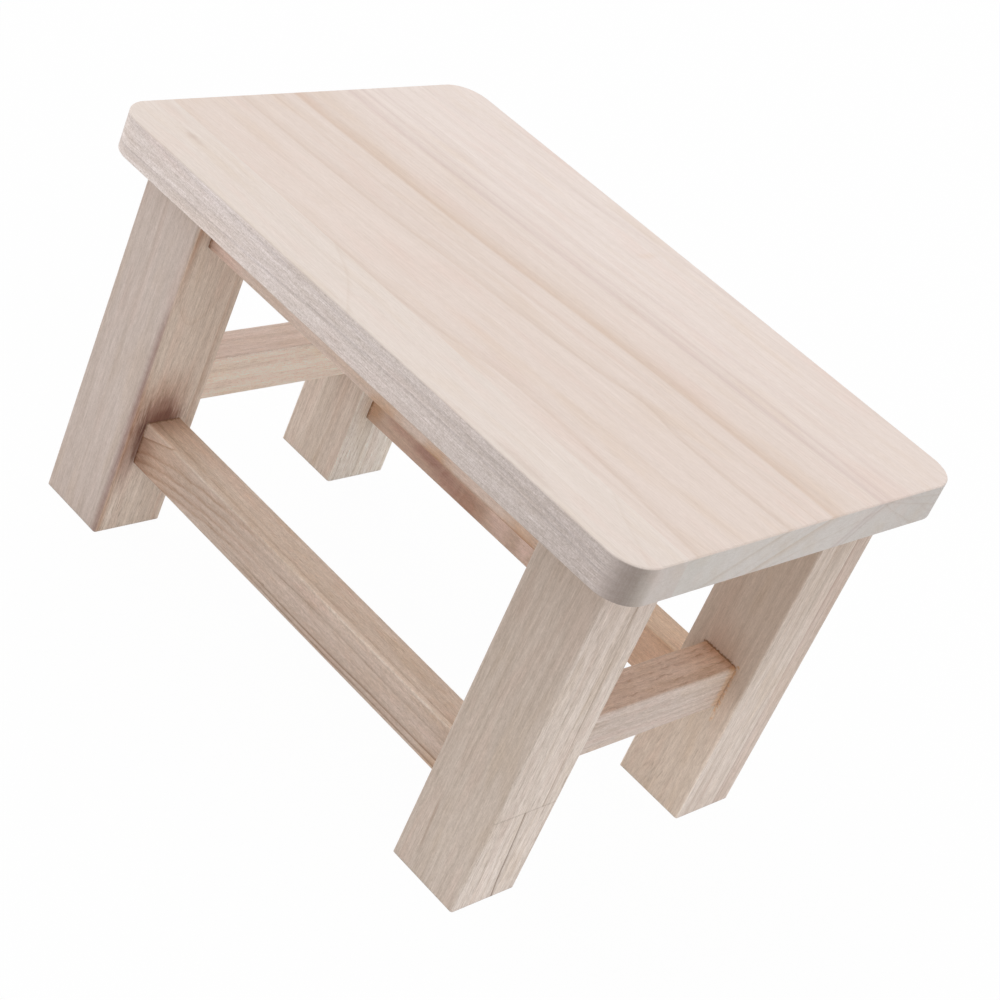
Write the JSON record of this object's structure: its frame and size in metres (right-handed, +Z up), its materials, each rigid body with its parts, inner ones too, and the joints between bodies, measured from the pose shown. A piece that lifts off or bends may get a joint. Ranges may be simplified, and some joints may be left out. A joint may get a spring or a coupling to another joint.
{
  "type": "low wooden stool",
  "caption": "Low rectangular wooden shoe fitting stool: a board seat with round corners on square legs, tied by rails under the seat and stretchers near the floor.",
  "frame": {"origin": "on the floor, under the middle of the seat", "axes": "+X along the seat to the right, +Y from the front long edge to the rear one, +Z up"},
  "size_m": [0.3, 0.2, 0.18],
  "materials": {
    "seat_wood": "planed and sanded, thin matt finish",
    "leg_wood": "planed and sanded, thin matt finish",
    "stretcher_wood": "planed and sanded, thin matt finish",
    "dowel_wood": "plain turned beech",
    "screw_steel": "zinc plated, dull"
  },
  "bodies": {
    "root": {"seat_main_board": "seat_wood", "seat_front_strip": "seat_wood", "front_left_leg": "leg_wood", "rear_left_leg": "leg_wood", "front_right_leg": "leg_wood", "front_right_leg_foot": "leg_wood", "rear_right_leg": "leg_wood", "front_stretcher": "stretcher_wood", "rear_stretcher": "stretcher_wood", "left_stretcher": "stretcher_wood", "right_stretcher": "stretcher_wood", "front_rail": "stretcher_wood", "rear_rail": "stretcher_wood", "leg_dowels": "dowel_wood", "seat_screws": "screw_steel"}
  },
  "joints": []
}
